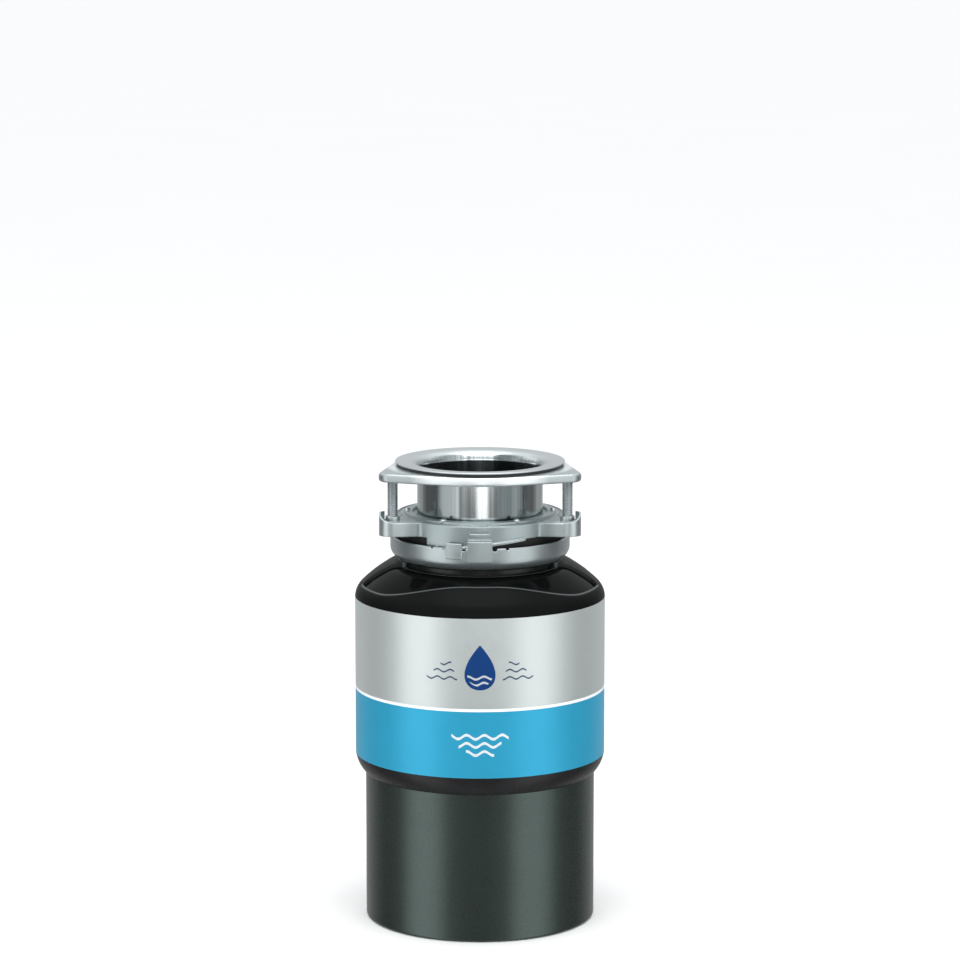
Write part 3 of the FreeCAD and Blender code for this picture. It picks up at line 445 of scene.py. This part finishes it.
def blue_wrap():
    """Blue film with white ripples that narrow downwards."""
    look = Look("blue_wrap", (0.03, 0.38, 0.70), 0.3, 0.3, Specular_IOR_Level=0.3)
    u, v = look.wrapped(BAND_R_MM)
    low, high = (corner.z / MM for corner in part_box("blue_band"))
    ink = look.mixed(look.noise(26.0), (0.026, 0.345, 0.56), (0.034, 0.39, 0.62))
    side = look.calc("ABSOLUTE", u)
    for k in range(3):
        wave = wave_line(look, u, v, (low + high) / 2 + 5.6 - 5.6 * k, 1.4, 12.0, 0.95)
        reach = between(look, side, -1.0, 19.5 - 5.0 * k)
        ink = look.mixed(look.calc("MULTIPLY", wave, reach), ink, (0.86, 0.92, 0.95))
    look.paint(ink)
    look.vary_rough(look.noise(3.0), 0.28, 0.36)
    look.bump(look.noise(0.6, 5.0), 0.004)
    return look.material


def white_wrap():
    """The white line between the two wraps."""
    look = Look("white_wrap", (0.9, 0.92, 0.93), 0.35)
    blotched(look, 12.0, (0.86, 0.89, 0.90), (0.93, 0.95, 0.96))
    look.vary_rough(look.noise(2.0), 0.3, 0.42)
    look.bump(look.noise(0.6), 0.006)
    return look.material


def black_rubber():
    """Moulded rubber with a faint bloom."""
    look = Look("black_rubber", (0.012, 0.014, 0.013), 0.5, Specular_IOR_Level=0.4)
    look.soft_edges(0.4)
    blotched(look, 5.0, (0.010, 0.012, 0.011), (0.022, 0.025, 0.024))
    look.vary_rough(look.noise(1.2), 0.38, 0.6)
    look.bump(look.noise(0.7, 6.0), 0.03)
    return look.material


def seal_rubber():
    """Glossy black rubber, wet-looking, with a slight green cast."""
    look = Look("seal_rubber", (0.006, 0.009, 0.008), 0.22, Specular_IOR_Level=0.4)
    look.soft_edges(0.4)
    blotched(look, 6.0, (0.004, 0.007, 0.006), (0.009, 0.013, 0.012))
    look.vary_rough(look.noise(2.0), 0.16, 0.3)
    look.bump(look.noise(1.5, 4.0), 0.02)
    return look.material


def foam():
    """Open-cell insulation."""
    look = Look("foam", (0.19, 0.19, 0.18), 0.9, Sheen_Weight=0.3)
    pores = look.cells(1.6)
    # the pores are painted darker towards their middles: painted shade in each pit
    look.paint(look.mixed(pores, (0.07, 0.07, 0.065), (0.26, 0.255, 0.24)))
    look.vary_rough(look.noise(2.0), 0.82, 0.96)
    look.bump(pores, 0.7)
    return look.material


def drain_metal():
    """Grey die casting with flow marks."""
    look = Look("drain_metal", (0.42, 0.43, 0.44), 0.45, 0.9)
    look.soft_edges(0.6)
    flow = look.noise(7.0, 6.0, (1, 1, 2.5))
    look.paint(look.mixed(flow, (0.33, 0.34, 0.35), (0.50, 0.51, 0.51)))
    look.vary_rough(flow, 0.36, 0.56)
    look.bump(look.noise(1.0, 6.0), 0.05)
    return look.material


def stainless():
    """Stainless sheet brushed round the axis."""
    look = Look("stainless", (0.60, 0.61, 0.60), 0.28, 1.0)
    look.soft_edges(0.3)
    brush = look.round_noise(70.0, 0.25, 3.0)
    look.paint(look.mixed(brush, (0.52, 0.53, 0.53), (0.68, 0.69, 0.68)))
    look.vary_rough(brush, 0.2, 0.36)
    look.bump(brush, 0.006)
    return look.material


def laminations():
    """Stacked electrical steel: a fine line between each pair of sheets."""
    look = Look("laminations", (0.22, 0.23, 0.25), 0.4, 0.9)
    z = look.axes()[2]
    sheets = look.calc("PINGPONG", z, 0.25)
    joint = look.spread(sheets, 0.0, 0.07, 1.0, 0.0)
    steel = look.mixed(look.noise(8.0), (0.20, 0.22, 0.25), (0.30, 0.30, 0.31))
    look.paint(look.mixed(joint, steel, (0.05, 0.05, 0.055)))
    look.vary_rough(look.noise(3.0), 0.34, 0.5)
    look.bump(look.calc("SUBTRACT", 1.0, joint), 0.05)
    return look.material


def copper_winding():
    """Varnished magnet wire, laid in turns."""
    look = Look("copper_winding", (0.55, 0.20, 0.08), 0.28, 0.85, Coat_Weight=0.6, Coat_Roughness=0.15)
    wander = look.calc("MULTIPLY", look.noise(9.0), 2.6)
    lay = look.calc("ADD", look.calc("ADD", look.radius(), look.axes()[2]), wander)
    wires = look.calc("PINGPONG", lay, 0.4)
    shade = look.spread(wires, 0.0, 0.4, 0.0, 1.0)
    # painted shade and highlight: each turn is painted dark where it meets the next and light on its crest
    look.paint(look.mixed(shade, (0.20, 0.055, 0.02), (0.66, 0.26, 0.11)))
    look.vary_rough(look.noise(2.0), 0.22, 0.4)
    look.bump(shade, 0.25)
    return look.material


def bronze():
    """Sintered bronze, dark with oil in its pores."""
    look = Look("bronze", (0.50, 0.33, 0.15), 0.38, 1.0)
    pores = look.cells(0.5)
    look.paint(look.mixed(look.spread(pores, 0.1, 0.5, 0.0, 1.0), (0.20, 0.12, 0.05), (0.58, 0.38, 0.17)))
    look.vary_rough(look.noise(2.0), 0.3, 0.5)
    look.bump(pores, 0.03)
    return look.material


def cage_aluminium():
    """Cast aluminium of the rotor's cage."""
    look = Look("cage_aluminium", (0.72, 0.73, 0.74), 0.38, 1.0)
    look.soft_edges(0.4)
    blotched(look, 4.0, (0.60, 0.61, 0.62), (0.78, 0.79, 0.80))
    look.vary_rough(look.noise(1.5), 0.3, 0.5)
    look.bump(look.noise(1.2, 5.0), 0.05)
    return look.material


def moulded(name, dark, light, low, high):
    """A filled thermoplastic with a fine skin."""
    look = Look(name, light, low)
    look.soft_edges(0.4)
    blotched(look, 7.0, dark, light)
    look.vary_rough(look.noise(1.4), low, high)
    look.bump(look.noise(0.5, 5.0), 0.02)
    return look.material


def green_lacquer():
    """Green lacquer, rubbed through to metal at the edges of the slot."""
    look = Look("green_screw", (0.03, 0.28, 0.08), 0.35, 0.3)
    green = look.mixed(look.noise(2.0), (0.02, 0.20, 0.05), (0.04, 0.31, 0.09))
    look.paint(look.mixed(look.edge_wear_and_highlight(0.3), green, (0.5, 0.5, 0.48)))
    look.vary_rough(look.noise(1.0), 0.28, 0.45)
    look.bump(look.noise(0.6), 0.01)
    return look.material


looks = {
    "cast_metal": cast_metal("cast_metal", (0.42, 0.48, 0.49), (0.48, 0.54, 0.55)),
    "polished_steel": polished_steel(),
    "plated_steel": plated_steel(),
    "bright_steel": bright_steel(),
    "can_paint": can_paint(),
    "black_plastic": black_plastic(),
    "silver_wrap": silver_wrap(),
    "white_wrap": white_wrap(),
    "blue_wrap": blue_wrap(),
    "black_rubber": black_rubber(),
    "seal_rubber": seal_rubber(),
    "foam": foam(),
    "drain_metal": drain_metal(),
    "stainless": stainless(),
    "laminations": laminations(),
    "copper_winding": copper_winding(),
    "bronze": bronze(),
    "cage_aluminium": cage_aluminium(),
    "moulding": moulded("moulding", (0.016, 0.016, 0.018), (0.030, 0.030, 0.033), 0.36, 0.52),
    "brown_moulding": moulded("brown_moulding", (0.045, 0.022, 0.012), (0.095, 0.048, 0.026), 0.35, 0.5),
    "red_plastic": moulded("red_plastic", (0.38, 0.016, 0.014), (0.52, 0.030, 0.026), 0.24, 0.36),
    "green_screw": green_lacquer(),
}

slot_of = {part["node"]: part["material_slot"] for part in frame["record"]["subparts"]}
for name, node in nodes.items():
    node.data.materials.clear()
    node.data.materials.append(looks[slot_of[name]])
nodes["top_cover"].data.materials[0] = cover_plastic()
# The clamp ring and the mounting plate get their own copies of the cast metal, painted much lighter and
# darker than the lock ring's: painted light on the ring, painted shade on the plate, each with a painted tone
# on its ears for how light falls on them.
nodes["clamp_ring"].data.materials[0] = cast_metal("rim_metal_painted_light", (0.85, 0.91, 0.92), (0.89, 0.95, 0.96),
                                                   ears=(0.46, 0.51, 0.52))
nodes["mounting_plate"].data.materials[0] = cast_metal("plate_metal_painted_shade", (0.33, 0.39, 0.40), (0.39, 0.45, 0.46),
                                                       ears=(0.52, 0.58, 0.59))


# ---------------------------------------------------------------- pieces that replace CAD nodes
def piece_from(build, name, node, body, material):
    """Makes the mesh in build a piece that stands for a node and moves with a body."""
    mesh = bpy.data.meshes.new(name)
    build.to_mesh(mesh)
    build.free()
    for face in mesh.polygons:
        face.use_smooth = True
    mesh.set_sharp_from_angle(angle=math.radians(SMOOTH_BELOW))
    piece = bpy.data.objects.new(name, mesh)
    bpy.context.scene.collection.objects.link(piece)
    mesh.materials.append(material)
    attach(piece, body)
    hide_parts(node)
    return piece


THREAD_PITCH = 1.27 * MM
THREAD_DEPTH = 0.55 * MM
THREAD_R = 3.7 * MM
THREAD_AROUND, THREAD_ROWS = 28, 8    # corners round the thread, and rows in each turn
RUNOUT = 0.8 * MM                     # the thread fades in over this height above the head
POINT = 1.2 * MM                      # and the end tapers over this one
HEAD_TOP = 0.2796
SMOOTH_BELOW = 40.0                   # degrees; sharper edges stay sharp


def threaded_screw(k, material):
    """One mounting screw: the node's own slotted head, with a rolled thread up the rest."""
    node = f"mounting_screw_{k}"
    low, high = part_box(node)
    middle = (low + high) / 2
    build = bmesh.new()
    build.from_mesh(nodes[node].data)
    bmesh.ops.remove_doubles(build, verts=build.verts, dist=0.001 * MM)
    gone = [v for v in build.verts if v.co.z > HEAD_TOP + 0.02 * MM]
    bmesh.ops.delete(build, geom=gone, context="VERTS")
    bmesh.ops.holes_fill(build, edges=[e for e in build.edges if e.is_boundary])
    rows = int((high.z - HEAD_TOP) / THREAD_PITCH * THREAD_ROWS)
    rings = []
    for row in range(rows + 1):
        z = HEAD_TOP - 0.1 * MM + (high.z - HEAD_TOP + 0.1 * MM) * row / rows
        ring = []
        for step in range(THREAD_AROUND):
            angle = 2 * math.pi * step / THREAD_AROUND
            phase = (z / THREAD_PITCH - step / THREAD_AROUND) % 1.0
            flank = min(1.0, max(0.0, 1.7 * abs(2 * phase - 1) - 0.35))
            runout = min(1.0, max(0.0, (z - HEAD_TOP) / RUNOUT))
            point = min(1.0, (high.z - z) / POINT)
            radius = (THREAD_R - THREAD_DEPTH * runout * (1 - flank)) * (0.72 + 0.28 * point)
            ring.append(build.verts.new((middle.x + radius * math.cos(angle),
                                         middle.y + radius * math.sin(angle), z)))
        rings.append(ring)
    for lower, upper in zip(rings, rings[1:]):
        for step in range(THREAD_AROUND):
            after = (step + 1) % THREAD_AROUND
            build.faces.new((lower[step], lower[after], upper[after], upper[step]))
    build.faces.new(rings[0][::-1])
    build.faces.new(rings[-1])
    piece_from(build, f"screw_thread_{k}", node, f"screw_{k}", material)


COIL_STEPS, WIRE_AROUND = 40, 12      # sections in each turn of a spring, and corners round its wire


def coil(name, node, body, radius, wire, turns, axis):
    """A compression spring of round wire that fills its node's height."""
    low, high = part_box(node)
    build = bmesh.new()
    steps = int(turns * COIL_STEPS)
    rise = high.z - low.z - 2 * wire
    rings = []
    for step in range(steps + 1):
        share = step / steps
        angle = 2 * math.pi * turns * share
        outward = Vector((math.cos(angle), math.sin(angle), 0.0))
        centre = Vector((axis[0], axis[1], low.z + wire + rise * share)) + outward * radius
        ring = []
        for part in range(WIRE_AROUND):
            swing = 2 * math.pi * part / WIRE_AROUND
            ring.append(build.verts.new(centre + outward * wire * math.cos(swing)
                                        + Vector((0.0, 0.0, wire * math.sin(swing)))))
        rings.append(ring)
    for near, far in zip(rings, rings[1:]):
        for part in range(WIRE_AROUND):
            after = (part + 1) % WIRE_AROUND
            build.faces.new((near[part], near[after], far[after], far[part]))
    build.faces.new(rings[0][::-1])
    build.faces.new(rings[-1])
    return piece_from(build, name, node, body, looks[slot_of[node]])


thread_look = rolled_thread()
for number in (1, 2, 3):
    threaded_screw(number, thread_look)

reset_low, reset_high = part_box("reset_spring")
reset_axis = (reset_low + reset_high) / 2
fly_spring = coil("fly_spring", "governor_spring", "rotor", 13.0 * MM, 0.6 * MM, 4, (0.0, 0.0))
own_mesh(fly_spring)
press_spring = coil("press_spring", "reset_spring", "housing", 4.2 * MM, 0.4 * MM, 4, reset_axis)
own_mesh(press_spring)


# ---------------------------------------------------------------- floor, light and camera
FLOOR_R = 60.0
FLOOR_GAP = 0.0002    # the floor lies this far under the object, so that the two don't flicker


def floor():
    """A wide pale floor; it isn't seen in the object's own reflections."""
    mesh = bpy.data.meshes.new("floor")
    build = bmesh.new()
    bmesh.ops.create_circle(build, cap_ends=True, radius=FLOOR_R, segments=96)
    build.to_mesh(mesh)
    build.free()
    piece = bpy.data.objects.new("floor", mesh)
    bpy.context.scene.collection.objects.link(piece)
    piece.location.z = cad_low.z - FLOOR_GAP
    look = Look("floor", (0.96, 0.96, 0.96), 0.8)
    look.paint(look.mixed(look.noise(400.0), (0.955, 0.955, 0.955), (0.975, 0.975, 0.975)))
    look.vary_rough(look.noise(50.0), 0.75, 0.85)
    mesh.materials.append(look.material)
    piece.visible_glossy = False


# Brightness of the light round the object, as (degrees from the front, level).
RING_LIGHT = ((-180, 0.55), (-140, 0.38), (-112, 0.10), (-88, 0.14), (-68, 1.30), (-48, 1.30),
              (-30, 0.20), (0, 0.12), (26, 0.20), (42, 1.20), (62, 1.20), (88, 0.14), (112, 0.10),
              (140, 0.38), (180, 0.55))
SKY = (1.15, 1.17, 1.18, 1.0)
GROUND = (0.35, 0.36, 0.36, 1.0)


def studio():
    """A ring of soft light round the object, brighter at each front quarter and overhead."""
    world = bpy.data.worlds.new("studio")
    world.use_nodes = True
    bpy.context.scene.world = world
    tree = world.node_tree
    tree.nodes.clear()

    def add(kind, inputs, **settings):
        return add_node(tree, kind, inputs, settings)

    direction = add("TexCoord", ()).outputs["Generated"]
    x, y, z = add("SeparateXYZ", ((0, direction),)).outputs
    back = add("Math", ((0, y), (1, -1.0)), operation="MULTIPLY").outputs[0]
    turn = add("Math", ((0, x), (1, back)), operation="ARCTAN2").outputs[0]
    share = add("MapRange", ((0, turn), (1, -math.pi), (2, math.pi), (3, 0.0), (4, 1.0))).outputs[0]
    ring = add("ValToRGB", ((0, share),))
    ring.color_ramp.interpolation = "EASE"
    fill_ramp(ring, [((degrees + 180) / 360, level) for degrees, level in RING_LIGHT])
    up = add("MapRange", ((0, z), (1, 0.10), (2, 0.75), (3, 0.0), (4, 1.0))).outputs[0]
    lit = add("Mix", ((0, up), (6, ring.outputs[0]), (7, SKY)), data_type="RGBA")
    down = add("MapRange", ((0, z), (1, -0.65), (2, -0.95), (3, 0.0), (4, 1.0))).outputs[0]
    floored = add("Mix", ((0, down), (6, lit.outputs[2]), (7, GROUND)), data_type="RGBA")
    shaded = add("Background", ((0, floored.outputs[2]), (1, 1.0)))
    white = add("Background", ((0, (1.0, 1.0, 1.0, 1.0)), (1, 1.0)))
    seen = add("LightPath", ()).outputs["Is Camera Ray"]
    both = add("MixShader", ((0, seen), (1, shaded.outputs[0]), (2, white.outputs[0])))
    add("OutputWorld", ((0, both.outputs[0]),))


def lamp(name, size, power, place, aim):
    """A rectangular area light of size metres and power watts, at place and turned to aim."""
    data = bpy.data.lights.new(name, "AREA")
    data.shape = "RECTANGLE"
    data.size, data.size_y = size
    data.energy = power
    piece = bpy.data.objects.new(name, data)
    bpy.context.scene.collection.objects.link(piece)
    piece.location = place
    piece.rotation_euler = (Vector(aim) - Vector(place)).to_track_quat("-Z", "Y").to_euler()
    return piece


LENS_MM, SENSOR_MM = 144.78, 36.0
CAMERA_PLACE = (0.0, -2.6249, 0.7377)
LOOKS_DOWN = 9.33     # degrees


def camera():
    """A long lens in front, a little above the object, looking slightly down."""
    data = bpy.data.cameras.new("camera")
    data.lens = LENS_MM
    data.sensor_width = SENSOR_MM
    data.clip_end = 200.0
    piece = bpy.data.objects.new("camera", data)
    bpy.context.scene.collection.objects.link(piece)
    piece.location = CAMERA_PLACE
    piece.rotation_euler = (math.radians(90.0 - LOOKS_DOWN), 0.0, 0.0)
    bpy.context.scene.camera = piece


floor()
studio()
lamp("overhead", (1.6, 1.6), 22.0, (0.0, -0.3, 2.2), (0.0, 0.0, 0.2))
sleeve_card = lamp("sleeve_card", (0.15, 0.05), 0.028, (0.03, -0.45, 0.228), (0.0, 0.0, 0.300))
sleeve_card.visible_camera = False
rim_card = lamp("rim_card", (0.75, 0.16), 0.5, (0.0, -0.48, 0.33), (0.0, 0.0, 0.314))
rim_card.visible_camera = False
camera()
bpy.context.scene.view_settings.view_transform = "Standard"
